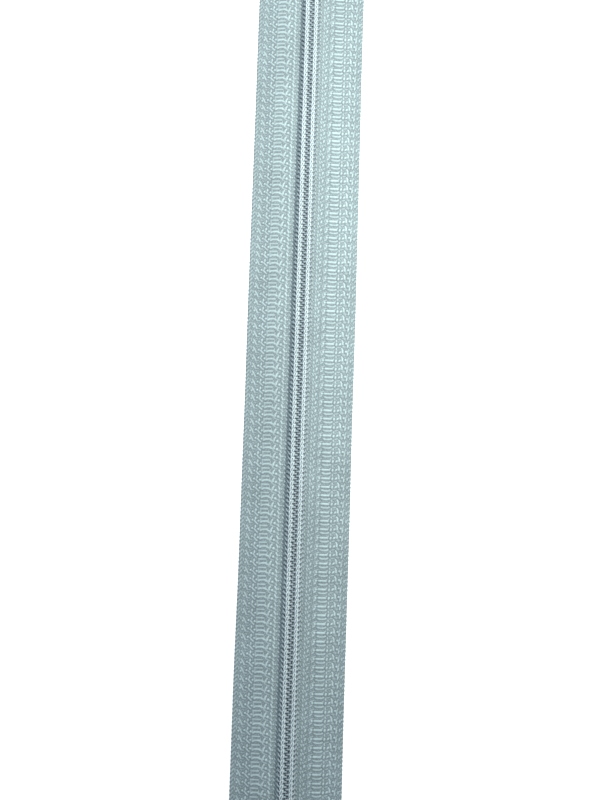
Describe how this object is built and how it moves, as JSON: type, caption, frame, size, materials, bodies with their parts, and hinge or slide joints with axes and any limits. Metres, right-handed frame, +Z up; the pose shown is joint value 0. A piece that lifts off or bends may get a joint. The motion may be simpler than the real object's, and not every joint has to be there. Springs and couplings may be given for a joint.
{
  "type": "zipper",
  "caption": "Closed-end nylon coil zipper on woven tapes, with an auto-lock slider, a pull tab and metal stops.",
  "frame": {"origin": "centre of the bounding box at the table, under the coils, half way along the tapes", "axes": "+Y along the chain towards the slider and top stops, +Z up from the table on the coil side, +X towards the right tape"},
  "size_m": [0.0296, 0.29, 0.0063],
  "materials": {
    "tape": "matte",
    "thread": "satin",
    "core_cord": "matte",
    "coil": "satin",
    "slider": "satin",
    "spring": "satin",
    "stop": "satin"
  },
  "bodies": {
    "chain_bottom": {"tail_left": "tape", "tail_right": "tape", "bottom_stop": "stop", "coil_end_left": "coil", "coil_end_right": "coil"},
    "left_stringer": {"tape_left": "tape", "coil_left": "coil", "core_cord_left": "core_cord", "front_seam_left": "thread", "back_seam_left": "thread", "top_stop_left": "stop"},
    "right_stringer": {"tape_right": "tape", "coil_right": "coil", "core_cord_right": "core_cord", "front_seam_right": "thread", "back_seam_right": "thread", "top_stop_right": "stop"},
    "slider": {"slider_body": "slider", "crown": "slider"},
    "lock": {"lock_pawl": "spring"},
    "pull": {"pull_tab": "slider"}
  },
  "joints": [
    {"name": "slider_slide", "type": "slide", "parent": "chain_bottom", "child": "slider", "axis": [0, 1, 0], "range_m": [-0.2334, 0], "deforming": ["tape_left", "coil_left", "core_cord_left", "front_seam_left", "back_seam_left", "tape_right", "coil_right", "core_cord_right", "front_seam_right", "back_seam_right"]},
    {"name": "left_spread", "type": "hinge", "parent": "chain_bottom", "child": "left_stringer", "pos_m": [-0.0135, -0.1215, 0], "axis": [0, 0, 1], "range_deg": [0, 8]},
    {"name": "right_spread", "type": "hinge", "parent": "chain_bottom", "child": "right_stringer", "pos_m": [0.0135, -0.1215, 0], "axis": [0, 0, -1], "range_deg": [0, 8]},
    {"name": "pull_swing", "type": "hinge", "parent": "slider", "child": "pull", "pos_m": [0, 0.116, 0.00465], "axis": [-1, 0, 0], "range_deg": [0, 165]},
    {"name": "lock_lift", "type": "hinge", "parent": "slider", "child": "lock", "pos_m": [0, 0.1192, 0.00427], "axis": [-1, 0, 0], "range_deg": [0, 3.3]}
  ],
  "couplings": [
    {"joint": "left_spread", "follows": "slider_slide", "rad_per_m": -0.598},
    {"joint": "right_spread", "follows": "slider_slide", "rad_per_m": -0.598},
    {"joint": "lock_lift", "follows": "pull_swing", "ratio": 0.0194}
  ]
}
